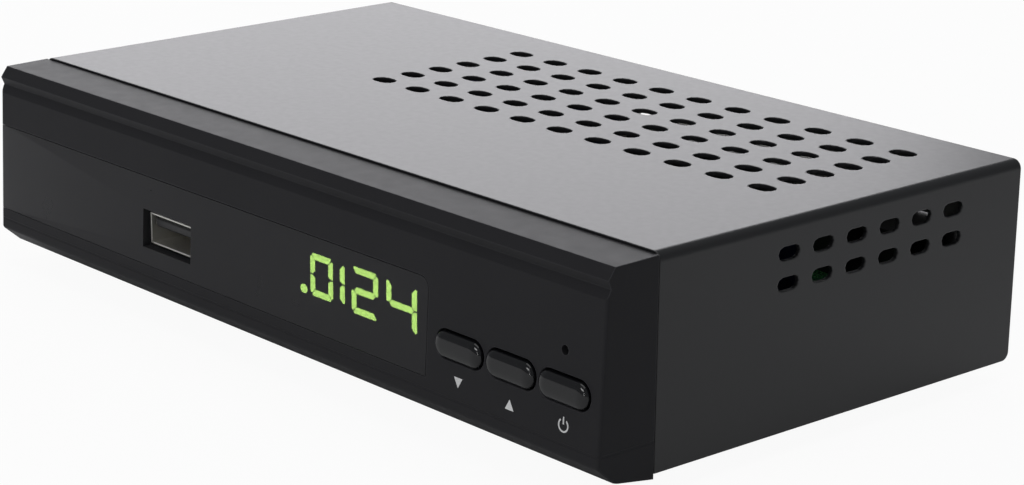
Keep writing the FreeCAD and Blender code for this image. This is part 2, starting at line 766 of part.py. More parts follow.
def make_keys():
    """Three domed keys, each with a flange behind the face and a post on its switch's stem."""
    for k, name in enumerate(("down", "up", "power")):
        place = (f"key_first_across + {k} * key_pitch", "0", "key_level")
        key = Piece(f"button_{name}", *place)
        key.shaped("XZ", "key_front", "flange_front - key_front + 0.2", lambda s: pill(
            s, "0", "0", "(key_hole_long - 2 * key_gap)", "(key_hole_wide - 2 * key_gap)"))
        key.dress("Chamfer", lambda m, s: near(m.y, "key_front"), "key_crown")
        key.dress("Chamfer", lambda m, s: near(m.y, "key_front + key_crown"), "key_shoulder")
        wide, high = "key_flange_wide / 2", "key_flange_high / 2"
        key.block((f"-{wide}", wide), ("flange_front", "flange_front + key_flange_thick"), (f"-{high}", high))
        key.rod("Y", "0", "flange_front", "0", "key_post_radius", "stem_front - flange_front")
        stem = Piece(f"switch_stem_{name}", *place)
        stem.rod("Y", "0", "stem_front", "0", "stem_radius", "stem_stand + stem_sunk")


def make_switches():
    """The housings of the three push switches, each bored for its stem."""
    solids = []
    half, back = value("switch_wide") / 2, value("front_board_deep")
    front, level = back - value("switch_high"), value("key_level")
    deep = value("stem_sunk + key_travel + 0.4")
    for k in range(3):
        x = value(f"key_first_across + {k} * key_pitch")
        housing = box_solid((x - half, x + half), (front, back), (level - half, level + half))
        bore = Part.makeCylinder(value("stem_radius + stem_fit"), deep, FreeCAD.Vector(x, front, level),
                                 FreeCAD.Vector(0, 1, 0))
        solids.append(housing.cut(bore))
    copies("switch_housings", solids)


def make_front_board():
    """The circuit board behind the front, held on the bezel's posts."""
    board = Piece("front_board")
    back = ("front_board_deep", "front_board_back")
    board.block(("front_board_left", "front_board_right"), back,
                ("floor_gap + front_board_low", "floor_gap + front_board_high"))
    hole = board.rod("Y", "post_first", "front_board_deep - 1", "floor_gap + post_high",
                     "screw_radius + screw_clearance", "board_thick + 2", cut=True)
    board.repeat(hole, ("X", "post_spacing", "3"))
    screws("front_board_screws", "Y", [
        (f"post_first + {k} * post_spacing", "front_board_back", "floor_gap + post_high") for k in range(3)])


def bar(start, stop, width, point):
    """A lit bar of a digit with pointed ends, between two points of the display's plane."""
    (x, z), (u, w) = start, stop
    length = math.hypot(u - x, w - z)
    along, side = ((u - x) / length, (w - z) / length), (-(w - z) / length, (u - x) / length)
    reach = width / 2 - point

    def corner(at, off):
        return FreeCAD.Vector(x + along[0] * at + side[0] * off, 0, z + along[1] * at + side[1] * off)

    ends = [corner(-reach, 0), corner(point, width / 2), corner(length - point, width / 2),
            corner(length + reach, 0), corner(length - point, -width / 2), corner(point, -width / 2)]
    return Part.Face(Part.makePolygon(ends + ends[:1]))


LIT = {"0": "abcdef", "1": "bc", "2": "abdeg", "4": "bcfg"}


def digit(figure, left, wide, low, high, stroke, point):
    """The lit bars of one figure, named a to g clockwise from the top with g in the middle."""
    right, middle = left + wide - stroke / 2, low + high / 2
    left, top, low = left + stroke / 2, low + high - stroke / 2, low + stroke / 2
    gap = stroke * 0.55
    lines = {
        "a": ((left + gap, top), (right - gap, top)),
        "b": ((right, middle + gap), (right, top - gap)),
        "c": ((right, low + gap), (right, middle - gap)),
        "d": ((left + gap, low), (right - gap, low)),
        "e": ((left, low + gap), (left, middle - gap)),
        "f": ((left, middle + gap), (left, top - gap)),
        "g": ((left + gap, middle), (right - gap, middle)),
    }
    return [bar(*lines[name], stroke, point) for name in LIT[figure]]


def make_display():
    """The numeral module on the front board with its lit bars, which follow the photographed figures."""
    module = Piece("display_module")
    wide, tall = "display_wide / 2", "display_tall / 2"
    level = "floor_gap + display_high"
    module.block((f"display_across - {wide}", f"display_across + {wide}"),
                 ("display_front", "front_board_deep"), (f"{level} - {tall}", f"{level} + {tall}"))
    module.dress("Chamfer", lambda m, s: near(m.y, "display_front"), "0.3")
    thick, stroke, point = value("segment_thick"), value("stroke"), value("segment_pointed")
    centre = value("floor_gap + digit_level")
    faces = []
    spans = {"0": (10.7, 6.0, 7.4), "1": (18.4, 1.5, 7.5), "2": (21.8, 6.9, 8.0), "4": (30.9, 7.7, 8.4)}
    for figure, (left, width, high) in spans.items():
        faces += digit(figure, left, width, centre - high / 2, high, stroke, point)
    dot, level = value("dot_size"), value("floor_gap + dot_high")
    x = value("dot_across")
    faces.append(bar((x - dot / 4, level), (x + dot / 4, level), dot, point))
    out = FreeCAD.Vector(0, thick, 0)
    copies("display_segments", [face.extrude(out) for face in faces], "0", "display_front - segment_thick")


def make_eye_and_light():
    """The remote-control eye with its domed lens, and the standby light on a spacer."""
    eye = Piece("remote_eye", "eye_across", "0", "floor_gap + eye_high")
    wide = "eye_wide / 2"
    eye.block((f"-{wide}", wide), ("bezel_inside_front + 1.4", "front_board_deep"),
              ("-eye_tall / 2", "eye_tall / 2"))
    lens = eye.sketch("XY", "0")
    front, dome = "bezel_inside_front - 0.4", "bezel_inside_front + 1.4"
    polygon(lens, [("0", front), ("0.9", f"{front} + 0.15"), ("1.7", f"{front} + 0.6"), ("2.3", f"{front} + 1.2"),
                   ("2.6", f"{dome} + 0.5"), ("0", f"{dome} + 0.5")])
    eye.turned(lens)
    light = Piece("standby_light", "led_across", "0", "floor_gap + led_high")
    drawn = light.sketch("XY", "0")
    polygon(drawn, [("0", "bezel_inside_front + 0.1"), ("0.6 * led_radius", "bezel_inside_front + 0.35"),
                    ("led_radius", "bezel_inside_front + 1.3"), ("led_radius", "front_board_deep - 1.2"),
                    ("led_radius + 0.4", "front_board_deep - 1.2"), ("led_radius + 0.4", "front_board_deep"),
                    ("0", "front_board_deep")])
    light.turned(drawn)


def make_receptacle():
    """The front data socket on the tongue of the main board: folded shell, insulator and contacts."""
    shell = Piece("usb_shell", "usb_across", "0", "usb_level")
    wide, high, back = "usb_shell_wide / 2", "usb_shell_high / 2", "usb_shell_front + usb_shell_long"

    def tube(drawn):
        rectangle(drawn, f"-{wide}", wide, f"-{high}", high)
        inner, upper = f"{wide} - usb_shell_thick", f"{high} - usb_shell_thick"
        rectangle(drawn, f"-({inner})", inner, f"-({upper})", upper)

    shell.shaped("XZ", "usb_shell_front", "usb_shell_long", tube)
    core = Piece("usb_insulator", "usb_across", "0", "usb_level")
    inner, upper = f"({wide} - usb_shell_thick)", f"({high} - usb_shell_thick)"
    core.block((f"-{inner}", inner), (f"{back} - usb_block_long", back), (f"-{upper}", upper))
    top = f"{upper} - usb_tongue_drop"
    core.block(("-usb_tongue_wide / 2", "usb_tongue_wide / 2"), ("usb_shell_front + usb_tongue_set", back),
               (f"{top} - usb_tongue_thick", top))
    core.dress("Chamfer", lambda m, s: near(m.y, "usb_shell_front + usb_tongue_set") and s.x > 5, "0.4")
    low = value(f"{top} - usb_tongue_thick")
    half, thick = value("usb_contact_wide / 2"), value("usb_contact_thick")
    front, end = value("usb_shell_front + 2"), value(f"{back} - usb_block_long")
    middles = [value(f"({k} - 1.5) * usb_contact_pitch") for k in range(4)]
    strips = [box_solid((x - half, x + half), (front, end), (low - thick, low)) for x in middles]
    copies("usb_contacts", strips, "usb_across", "0", "usb_level")


def make_main_board():
    """The main circuit board, with a tongue that carries the front socket, and its screws."""
    board = Piece("main_board")
    thick = ("board_low", "board_top")
    board.block(("-main_board_wide / 2", "main_board_wide / 2"), ("main_board_front", "main_board_rear"), thick)
    board.block(("usb_across - board_tongue_wide / 2", "usb_across + board_tongue_wide / 2"),
                ("board_tongue_deep", "main_board_front + 1"), thick)
    for x, y in board_holes():
        board.rod("Z", x, y, "board_low - 1", "screw_radius + screw_clearance", "board_thick + 2", cut=True)
    screws("main_board_screws", "Z", [(x, y, "board_top") for x, y in board_holes()])


def make_tuner():
    """The tuner's tinned box with its lid, and the threaded aerial input with nut and washer."""
    right, back = "tuner_left + tuner_wide", "main_board_rear"
    front, top = "main_board_rear - tuner_deep", "board_top + tuner_high"
    case = Piece("tuner_box")
    case.block(("tuner_left", right), (front, back), ("board_top", top))
    case.block(("tuner_left + tin_thick", f"{right} - tin_thick"), (f"{front} + tin_thick", f"{back} - tin_thick"),
               ("board_top + tin_thick", f"{top} + 1"), cut=True)
    lid = Piece("tuner_lid")
    lid.block(("tuner_left", right), (front, back), (top, f"{top} + tin_thick"))
    for x in ("tuner_left + 8", f"{right} - 8"):
        lid.rod("Z", x, f"{front} + tuner_deep / 2", f"{top} - 1", "1.5", "3", cut=True)
    place = ("aerial_across", "0", "aerial_level")
    free = "panel_back + washer_thick + nut_thick"
    barrel = Piece("aerial_barrel", *place)
    drawn = barrel.sketch("XY", "0")
    polygon(drawn, [
        ("aerial_bore", back), ("aerial_flange", back), ("aerial_flange", "panel_face"),
        ("aerial_radius - aerial_relief", "panel_face"), ("aerial_radius - aerial_relief", free),
        ("aerial_radius", free), ("aerial_radius", "rear_end - 0.5"),
        ("aerial_radius - 0.5", "rear_end"), ("aerial_bore", "rear_end")])
    barrel.turned(drawn)
    core = Piece("aerial_insulator", *place)
    drawn = core.sketch("XY", "0")
    outer = "aerial_bore - aerial_fit"
    polygon(drawn, [("aerial_core_hole", back), (outer, back), (outer, "rear_end - 0.8"),
                    ("aerial_core_hole + 0.6", "rear_end - 0.8"), ("aerial_core_hole", "rear_end - 1.4")])
    core.turned(drawn)
    washer = Piece("aerial_washer", *place)
    drawn = washer.sketch("XY", "0")
    hole, step = "aerial_radius + 0.35", "panel_back + washer_thick"
    rectangle(drawn, hole, "washer_radius", "panel_back", step)
    washer.turned(drawn)
    nut = Piece("aerial_nut", *place)
    drawn = nut.sketch("XZ", step)
    polygon(drawn, [(f"nut_radius * cos({60 * k})", f"nut_radius * sin({60 * k})") for k in range(6)])
    circle(drawn, "0", "0", "aerial_radius - aerial_relief + aerial_fit")
    nut.extrude(drawn, "nut_thick")


def hollow(label, place, outline, inner, start, length):
    """A folded shell: one outline pulled along the depth, open through another."""
    shell = Piece(label, *place)

    def both(drawn):
        polygon(drawn, outline)
        polygon(drawn, inner)

    shell.shaped("XZ", start, length, both)
    return shell


def skewed(wide, high, cut, lower):
    """A rectangle about the origin with two corners cut away, at its lower or its upper edge."""
    sign = "-1" if lower else "1"
    near_edge, far_edge = f"{sign} * ({high}) / 2", f"-({sign}) * ({high}) / 2"
    half = f"({wide}) / 2"
    return [
        (f"-({half})", far_edge), (f"-({half})", f"{near_edge} - ({sign}) * {cut}"),
        (f"-({half}) + {cut}", near_edge), (f"{half} - {cut}", near_edge),
        (half, f"{near_edge} - ({sign}) * {cut}"), (half, far_edge)]


def make_hdmi():
    """The digital picture socket: a shell with bevelled lower corners round a thin tongue."""
    place = ("hdmi_across", "0", "hdmi_level")
    start = "panel_back + hdmi_reach - hdmi_long"
    thick = "2 * hdmi_shell_thick"
    hollow("hdmi_shell", place, skewed("hdmi_wide", "hdmi_high", "hdmi_corner", True),
           skewed(f"hdmi_wide - {thick}", f"hdmi_high - {thick}", "hdmi_corner", True), start, "hdmi_long")
    core = Piece("hdmi_insulator", *place)
    core.shaped("XZ", start, "3", lambda s: polygon(
        s, skewed(f"hdmi_wide - {thick} - 0.02", f"hdmi_high - {thick} - 0.02", "hdmi_corner", True)))
    core.block(("-5.5", "5.5"), (f"{start} + 1", "panel_back - 0.6"), ("-0.1", "1.1"))


def make_scart():
    """The wide audio and picture socket: a metal shroud with a cut corner and a slotted insert."""
    place = ("scart_across", "0", "scart_level")
    start = "panel_back + scart_reach - scart_long"
    half, high, cut, wall = "scart_wide / 2", "scart_high / 2", "scart_corner", "scart_shell_thick"
    outline = [(f"-({half})", f"-({high})"), (half, f"-({high})"), (half, high), (f"{cut} - {half}", high),
               (f"-({half})", f"{high} - {cut}")]
    inner = [(f"{wall} - {half}", f"{wall} - {high}"), (f"{half} - {wall}", f"{wall} - {high}"),
             (f"{half} - {wall}", f"{high} - {wall}"), (f"{cut} - {half} + 0.4 * {wall}", f"{high} - {wall}"),
             (f"{wall} - {half}", f"{high} - {cut} - 0.4 * {wall}")]
    hollow("scart_shell", place, outline, inner, start, "scart_long")
    core = Piece("scart_insulator", *place)
    gap = f"({wall} + scart_groove)"
    base = f"({half} - {wall} - 0.05)"
    face = "panel_back + scart_reach - 1"
    core.block((f"-{base}", base), (start, f"{start} + 3"), (f"-({high} - {wall} - 0.05)", f"{high} - {cut} - {wall}"))
    core.block((f"{gap} - {half} + 1", f"{half} - {gap}"), (f"{start} + 1", face),
               (f"{gap} - {high}", f"{high} - {gap} - 1"))
    slot_half, slot_high = "scart_slot_wide / 2", "scart_slot_high / 2"
    for row, first, count in ((1, "-4.5", "10"), (-1, "-5", "11")):
        middle, level = f"{first} * scart_pitch", f"{row} * scart_row / 2 - 0.5"
        slot = core.block((f"{middle} - {slot_half}", f"{middle} + {slot_half}"),
                          (f"{face} - scart_slot_deep", f"{face} + 1"),
                          (f"{level} - {slot_high}", f"{level} + {slot_high}"), cut=True)
        core.repeat(slot, ("X", "scart_pitch", count))


def make_coax():
    """The digital sound socket: a moulded block with a collar, a plated sleeve and its core."""
    place = ("coax_across", "0", "coax_level")
    block = Piece("coax_block", *place)
    start, floor = "panel_face - coax_block_deep", "board_top - coax_level"
    wide, end = "coax_block_wide / 2", "panel_back + coax_reach"
    block.block((f"-{wide}", wide), (start, "panel_face"), (floor, f"{floor} + coax_block_high"))
    block.rod("Y", "0", "panel_face - 1", "0", "coax_collar_radius", "chassis_steel + 2.2")
    block.rod("Y", "0", "panel_face - 4", "0", "coax_radius - coax_relief + 0.02", "12", cut=True)
    sleeve = Piece("coax_sleeve", *place)
    drawn = sleeve.sketch("XY", "0")
    inner, held, free = "coax_radius - coax_wall", "coax_radius - coax_relief", "panel_back + 1.25"
    polygon(drawn, [(inner, "panel_face - 4"), (held, "panel_face - 4"), (held, free), ("coax_radius", free),
                    ("coax_radius", f"{end} - 0.3"),
                    ("coax_radius - 0.3", end), (inner, end)])
    sleeve.turned(drawn)
    core = Piece("coax_insulator", *place)
    drawn = core.sketch("XY", "0")
    polygon(drawn, [("coax_core_hole", "panel_face - 4"), (f"{inner} - 0.02", "panel_face - 4"),
                    (f"{inner} - 0.02", f"{end} - 1.5"), ("coax_core_hole", f"{end} - 1.5")])
    core.turned(drawn)


def make_power():
    """The low-voltage inlet: a block with a deep round bore and a centre pin."""
    place = ("power_across", "0", "power_level")
    block = Piece("power_block", *place)
    end = "panel_back + 0.4"
    wide, high = "power_wide / 2", "power_high / 2"
    block.block((f"-{wide}", wide), (f"{end} - power_long", end), ("board_top - power_level", high))
    block.rod("Y", "0", f"{end} - power_bore_deep", "0", "power_bore", "power_bore_deep + 1", cut=True)
    core = Piece("power_pin", *place)
    core.rod("Y", "0", f"{end} - power_bore_deep", "0", "power_pin", "power_bore_deep - 1")
    core.dress("Chamfer", lambda m, s: near(m.y, f"{end} - 1"), "0.5")


def make_board_parts():
    """The processor under its finned heat sink, and the parts that stand round it on the board."""
    chip = Piece("processor", "chip_across", "chip_deep", "board_top")
    half = "chip_wide / 2"
    chip.block((f"-{half}", half), (f"-{half}", half), ("0", "chip_thick"))
    sink = Piece("heat_sink", "chip_across", "chip_deep", "board_top + chip_thick")
    half = "sink_wide / 2"
    sink.block((f"-{half}", half), (f"-{half}", half), ("0", "sink_base"))
    fin = sink.block((f"-{half}", f"fin_thick - {half}"), (f"-{half}", half), ("sink_base / 2", "sink_high"))
    sink.repeat(fin, ("X", "(sink_wide - fin_thick) / (fin_count - 1)", "fin_count"))
    deck = value("board_top")
    wide, deep, thick = (value(f"memory_{name} / 2") for name in ("wide", "deep", "thick"))
    spots = ((-16, 34), (-16, 46))
    copies("memory_chips", [box_solid((x - wide, x + wide), (y - deep, y + deep), (deck, deck + 2 * thick))
                            for x, y in spots])
    half = value("flash_wide") / 2
    spots = ((-40, 30), (-34, 48), (64, 36))
    copies("small_chips", [box_solid((x - half, x + half), (y - half, y + half), (deck, deck + 1.4))
                           for x, y in spots])
    long, across, high = (value(f"crystal_{name}") for name in ("long", "wide", "high"))
    crystal = box_solid((-long / 2, long / 2), (-across / 2, across / 2), (0, high))
    upright = [e for e in crystal.Edges if e.BoundBox.ZLength > 1]
    crystal = crystal.makeFillet(across * 0.45, upright)
    solids = []
    for x, y in ((-8, 60), (-52, 40)):
        one = crystal.copy()
        one.translate(FreeCAD.Vector(x, y, deck))
        solids.append(one)
    copies("crystals", solids)


def can(radius, high, x, y, deck):
    """An electrolytic capacitor with a rolled neck near its foot and a rounded top edge."""
    neck = radius * 0.9
    profile = [(radius, 0), (radius, 1.6), (neck, 2.1), (radius, 2.6), (radius, high - 0.5), (radius - 0.5, high)]
    return sided(profile, 18, x, y, deck)


def make_capacitors():
    """Two large smoothing capacitors, a row of smaller ones and the square chokes by the inlet."""
    deck = value("board_top")
    radius, high = value("wide_can_radius"), value("wide_can_high")
    copies("large_capacitors", [can(radius, high, x, 73, deck) for x in (-27, 3)])
    radius, high = value("can_radius"), value("can_high")
    spots = ((50, 62), (62, 62), (34, 68), (-48, 52))
    copies("small_capacitors", [can(radius * 0.8, high * 0.75, x, y, deck) for x, y in spots])
    wide, high = value("coil_wide") / 2, value("coil_high")
    chokes = []
    for x, y in ((38, 50), (50, 48), (62, 48)):
        block = box_solid((x - wide, x + wide), (y - wide, y + wide), (deck, deck + high))
        upright = [e for e in block.Edges if e.BoundBox.ZLength > 1]
        chokes.append(block.makeChamfer(1.0, upright))
    copies("chokes", chokes)


def make_cable():
    """The flat cable between the boards: a socket on each, and a ribbon that loops over between them."""
    socket = Piece("board_socket", "plug_across", "plug_at_deep", "board_top")
    half, deep = "plug_wide / 2", "plug_deep / 2"
    socket.block((f"-{half}", half), (f"-{deep}", deep), ("0", "plug_high"))
    front = Piece("front_socket", "plug_across", "front_board_back", "socket_high")
    front.block((f"-{half}", half), ("0", "socket_reach"), ("-plug_deep / 2", "plug_deep / 2"))
    ribbon = Piece("ribbon_cable", "plug_across")
    lead, drop = "front_board_back + socket_reach", "board_top + plug_high"
    bend = "(plug_at_deep - ribbon_thick / 2 - (front_board_back + socket_reach))"
    rise = "(socket_high - ribbon_thick / 2 - (board_top + plug_high))"
    outer, inner = [], []
    for k in range(RIBBON_BENDS + 1):
        turn = 90 * k / RIBBON_BENDS
        for side, edge in ((1, outer), (-1, inner)):
            across = f"{lead} + ({bend} + {side} * ribbon_thick / 2) * sin({turn})"
            edge.append((across, f"{drop} + ({rise} + {side} * ribbon_thick / 2) * cos({turn})"))
    ribbon.shaped("YZ", "-ribbon_wide / 2", "ribbon_wide", lambda s: polygon(s, outer + inner[::-1]))


def write_parts():
    """Checks each piece and writes it as its own file."""
    doc.recompute()
    os.makedirs("parts", exist_ok=True)
    for thing in doc.Objects:
        if "Invalid" in thing.State or "Error" in thing.State:
            raise RuntimeError(f"{thing.Name} of {thing.getParentGroup() or thing} is {thing.State}")
    for piece in pieces:
        shape = piece.Shape
        if shape.isNull() or not shape.isValid() or not shape.Solids:
            raise RuntimeError(f"{piece.Label} has no valid solid")
        shape.exportStep(f"parts/{piece.Label}.step")
        print(piece.Label, len(shape.Solids), round(shape.Volume, 1))


make_cover()
make_chassis()
make_feet()
make_bezel()
make_window()
make_keys()
make_switches()
make_front_board()
make_display()
make_eye_and_light()
make_receptacle()
make_main_board()
make_tuner()
make_hdmi()
make_scart()
make_coax()
make_power()
make_board_parts()
make_capacitors()
make_cable()
points = [(f"{side} * tab_spacing", "panel_back", "cover_screw_high") for side in (-1, 0, 1)]
screws("cover_screws", "Y", points)
write_parts()
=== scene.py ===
"""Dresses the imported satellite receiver: finishes on its pieces, fine pieces of its own, light and camera.

Lengths are written in millimetres in the frame's own directions, X to the right, Y to the back and Z up
from the floor, and turned into metres where a mesh, a lamp or the camera takes them.
"""
import json
import math

import bpy
import numpy as np
from mathutils import Matrix, Vector


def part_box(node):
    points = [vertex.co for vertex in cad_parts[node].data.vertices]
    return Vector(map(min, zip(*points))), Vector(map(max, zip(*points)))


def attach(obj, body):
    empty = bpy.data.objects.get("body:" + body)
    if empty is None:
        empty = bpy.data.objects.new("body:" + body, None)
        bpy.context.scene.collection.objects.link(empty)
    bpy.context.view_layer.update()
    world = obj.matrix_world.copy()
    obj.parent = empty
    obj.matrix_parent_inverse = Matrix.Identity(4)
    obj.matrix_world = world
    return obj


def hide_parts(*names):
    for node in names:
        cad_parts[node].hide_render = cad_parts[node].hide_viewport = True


MM = 0.001
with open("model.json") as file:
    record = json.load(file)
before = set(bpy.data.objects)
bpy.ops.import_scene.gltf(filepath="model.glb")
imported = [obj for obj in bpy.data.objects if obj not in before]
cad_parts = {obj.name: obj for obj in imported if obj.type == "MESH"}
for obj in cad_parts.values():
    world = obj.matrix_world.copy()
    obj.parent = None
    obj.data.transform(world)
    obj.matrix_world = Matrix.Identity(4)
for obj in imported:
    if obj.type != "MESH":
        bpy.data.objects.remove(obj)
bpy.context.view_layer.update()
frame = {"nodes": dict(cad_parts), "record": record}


def node_box(name):
    """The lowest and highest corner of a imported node, in millimetres."""
    low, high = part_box(name)
    return np.array(low) / MM, np.array(high) / MM


# The front's own plane, from which its pieces are placed: the rear panel's outer face lies this far behind.
PANEL_BACK = 94.0
FRONT = node_box("bottom_chassis")[1][1] - PANEL_BACK
FLOOR_GAP = 3.0  # from the floor to the underside of the case
# The leaning face: its top edge's height over the underside, how tall it is, how deep its top edge lies
# behind the front's plane, and how far it comes forward from top to bottom.
FACE_TOP = 30.75
FACE_TALL = 26.35
FACE_TOP_DEPTH = 0.6
FACE_LEAN = 1.2
CREASE_HIGH = 6.3  # the parting line low on the front, over the underside
COLLAR_START = FRONT + PANEL_BACK - 0.7  # within the rear panel's sheet
AROUND = 96  # points in a round outline
KEYS = ("down", "up", "power")


class Value:
    """A shader socket that can stand in a sum; each operator makes the Math node that works it out."""

    def __init__(self, tree, socket):
        self.tree = tree
        self.socket = socket

    def math(self, operation, *others):
        inputs = dict(enumerate((self, *others)))
        return self.tree.add("ShaderNodeMath", {"operation": operation}, inputs).out(0)

    def __add__(self, other):
        return self.math("ADD", other)

    def __sub__(self, other):
        return self.math("SUBTRACT", other)

    def __mul__(self, other):
        return self.math("MULTIPLY", other)

    def __rsub__(self, other):
        return self * -1.0 + other

    __radd__ = __add__
    __rmul__ = __mul__

    def size(self):
        return self.math("ABSOLUTE")

    def below(self, edge, soft):
        """1 where the value is under an edge, falling to 0 over a soft width."""
        settings = {"interpolation_type": "SMOOTHSTEP"}
        inputs = {"Value": self, "From Min": edge, "From Max": edge + soft, "To Min": 1.0, "To Max": 0.0}
        return self.tree.add("ShaderNodeMapRange", settings, inputs).out(0)


class Made:
    """A node just made, whose outputs are asked for by name or number."""

    def __init__(self, tree, node):
        self.tree = tree
        self.node = node

    def out(self, name=0):
        return Value(self.tree, self.node.outputs[name])


class Finish:
    """One material: a Principled shader and the nodes that feed it, in object coordinates."""

    def __init__(self, name, **constants):
        self.material = bpy.data.materials.new(name)
        self.material.use_nodes = True
        self.tree = self.material.node_tree
        self.shader = self.tree.nodes["Principled BSDF"]
        for key, value in constants.items():
            self.shader.inputs[key.replace("_", " ")].default_value = value
        self.place = self.add("ShaderNodeTexCoord").out("Object")

    def add(self, kind, settings=None, inputs=None):
        node = self.tree.nodes.new(kind)
        for key, value in (settings or {}).items():
            setattr(node, key, value)
        for key, value in (inputs or {}).items():
            if isinstance(value, Value):
                self.tree.links.new(value.socket, node.inputs[key])
            else:
                node.inputs[key].default_value = value
        return Made(self, node)

    def feed(self, name, value):
        self.tree.links.new(value.socket, self.shader.inputs[name])

    def noise(self, spacing, detail=2.0, stretch=(1.0, 1.0, 1.0)):
        """Noise whose features are about a spacing apart, in millimetres; a share under 1 stretches it
        along that axis."""
        scaled = self.add("ShaderNodeMapping", None, {"Vector": self.place, "Scale": stretch}).out()
        inputs = {"Vector": scaled, "Scale": 1 / (spacing * MM), "Detail": detail}
        return self.add("ShaderNodeTexNoise", None, inputs).out(0)

    def axis(self, name):
        """The object coordinate along X, Y or Z, in millimetres."""
        return self.add("ShaderNodeSeparateXYZ", None, {0: self.place}).out(name) * (1 / MM)

    def mixed(self, factor, one, other):
        """One colour where the factor is 0 and the other where it is 1."""
        settings = {"data_type": "RGBA"}
        inputs = {0: factor}
        for slot, colour in ((6, one), (7, other)):
            inputs[slot] = colour if isinstance(colour, Value) else (*colour, 1.0)
        return self.add("ShaderNodeMix", settings, inputs).out(2)

    def spread(self, value, low, high):
        """A noise value, most of which lies between 0.3 and 0.7, carried to between two numbers."""
        inputs = {"Value": value, "From Min": 0.3, "From Max": 0.7, "To Min": low, "To Max": high}
        return self.add("ShaderNodeMapRange", None, inputs).out(0)

    def relief(self, height, depth, rounding=0.0, strength=1.0):
        """Bump of a depth in millimetres over edges rounded by a radius in millimetres."""
        inputs = {"Height": height, "Distance": depth * MM, "Strength": strength}
        if rounding:
            inputs["Normal"] = self.add("ShaderNodeBevel", {"samples": 6}, {"Radius": rounding * MM}).out()
        self.feed("Normal", self.add("ShaderNodeBump", None, inputs).out())


def darker(colour, share):
    """A colour times a share, which over 1 makes it paler."""
    return tuple(c * share for c in colour)


def powder_coat(name, colour):
    """Baked powder: a fine orange peel, small colour drift and a satin sheen."""
    made = Finish(name, Roughness=0.34, IOR=1.52)
    drift = made.noise(40.0)
    made.feed("Base Color", made.mixed(drift, darker(colour, 0.9), darker(colour, 1.1)))
    made.feed("Roughness", made.spread(made.noise(1.4, detail=3.0), 0.33, 0.355))
    made.relief(made.noise(0.5), depth=0.008, rounding=0.35, strength=0.5)
    return made


def moulded(name, colour, rough=0.42, grain=0.28, depth=0.012, rounding=0.15):
    """Moulded plastic with a spark-eroded grain, slightly glossier where hands and cloths polish it."""
    made = Finish(name, IOR=1.48)
    drift = made.noise(14.0, detail=3.0)
    made.feed("Base Color", made.mixed(drift, darker(colour, 0.85), darker(colour, 1.15)))
    made.feed("Roughness", made.spread(made.noise(6.0, detail=3.0), rough - 0.04, rough + 0.05))
    made.relief(made.noise(grain, detail=3.0), depth, rounding, strength=0.7)
    return made


def polished(name, colour, rough=0.12):
    """Glossy plastic with faint wipe marks in its shine."""
    made = Finish(name, IOR=1.5)
    made.feed("Base Color", made.mixed(made.noise(8.0), darker(colour, 0.9), darker(colour, 1.1)))
    marks = made.noise(3.0, detail=4.0, stretch=(1.0, 1.0, 0.2))
    made.feed("Roughness", made.spread(marks, rough - 0.03, rough + 0.06))
    made.relief(made.noise(1.5), depth=0.002, rounding=0.1, strength=0.4)
    return made


def plated(name, colour, rough, stretch=(1.0, 1.0, 1.0), metal=1.0):
    """Plated or bare metal: drawn grain along the stretch, with duller clouds in it."""
    made = Finish(name, Metallic=metal)
    clouds = made.noise(5.0, detail=4.0)
    made.feed("Base Color", made.mixed(clouds, darker(colour, 0.78), colour))
    grain = made.noise(0.3, detail=3.0, stretch=stretch)
    made.feed("Roughness", made.spread(grain + clouds * 0.4, rough - 0.06, rough + 0.1))
    made.relief(grain, depth=0.004, rounding=0.12, strength=0.5)
    return made


def circuit_board(name, mask, copper):
    """Solder mask over tracks, which show as paler green lines. A track lies where the fraction of the
    way along an axis, bent by noise, is near a half; broad noise leaves part of the board without."""
    made = Finish(name, IOR=1.5)
    runs = made.axis("X") * 0.9 + made.noise(6.0, detail=1.0) * 5.0
    cross = made.axis("Y") * 0.7 + made.noise(7.0, detail=1.0) * 4.0
    lines = (runs.math("FRACT") - 0.5).size().below(0.12, soft=0.05)
    across = (cross.math("FRACT") - 0.5).size().below(0.1, soft=0.05)
    tracks = lines.math("MAXIMUM", across) * made.noise(4.0).below(0.5, soft=0.05)
    made.feed("Base Color", made.mixed(tracks, mask, copper))
    made.feed("Roughness", made.spread(made.noise(2.0), 0.22, 0.34))
    made.relief(tracks, depth=0.03, rounding=0.1)
    return made


def collar(name, colour, body):
    """The sound socket's block: its collar outside the rear panel is coloured, the block inside is dark."""
    made = moulded(name, colour)
    inside = made.axis("Y").below(COLLAR_START, soft=0.05)
    made.feed("Base Color", made.mixed(inside, colour, body))
    return made


def lit_segment(name, colour, glow):
    """A lit bar: nearly even, with faint cloudiness."""
    made = Finish(name, Emission_Strength=glow)
    warm = made.mixed(made.noise(1.2), darker(colour, 0.92), colour)
    made.feed("Base Color", warm)
    made.feed("Emission Color", warm)
    return made


def smoked(name, colour, cover):
    """Smoked glossy strip: dark and mostly closed, but a bright light behind it shows."""
    made = Finish(name, IOR=1.48, Alpha=cover, Specular_IOR_Level=0.16)
    made.feed("Base Color", made.mixed(made.noise(30.0), darker(colour, 0.9), darker(colour, 1.1)))
    made.feed("Roughness", made.spread(made.noise(12.0, detail=3.0), 0.27, 0.31))
    made.relief(made.noise(0.6), depth=0.003, rounding=0.1, strength=0.4)
    return made


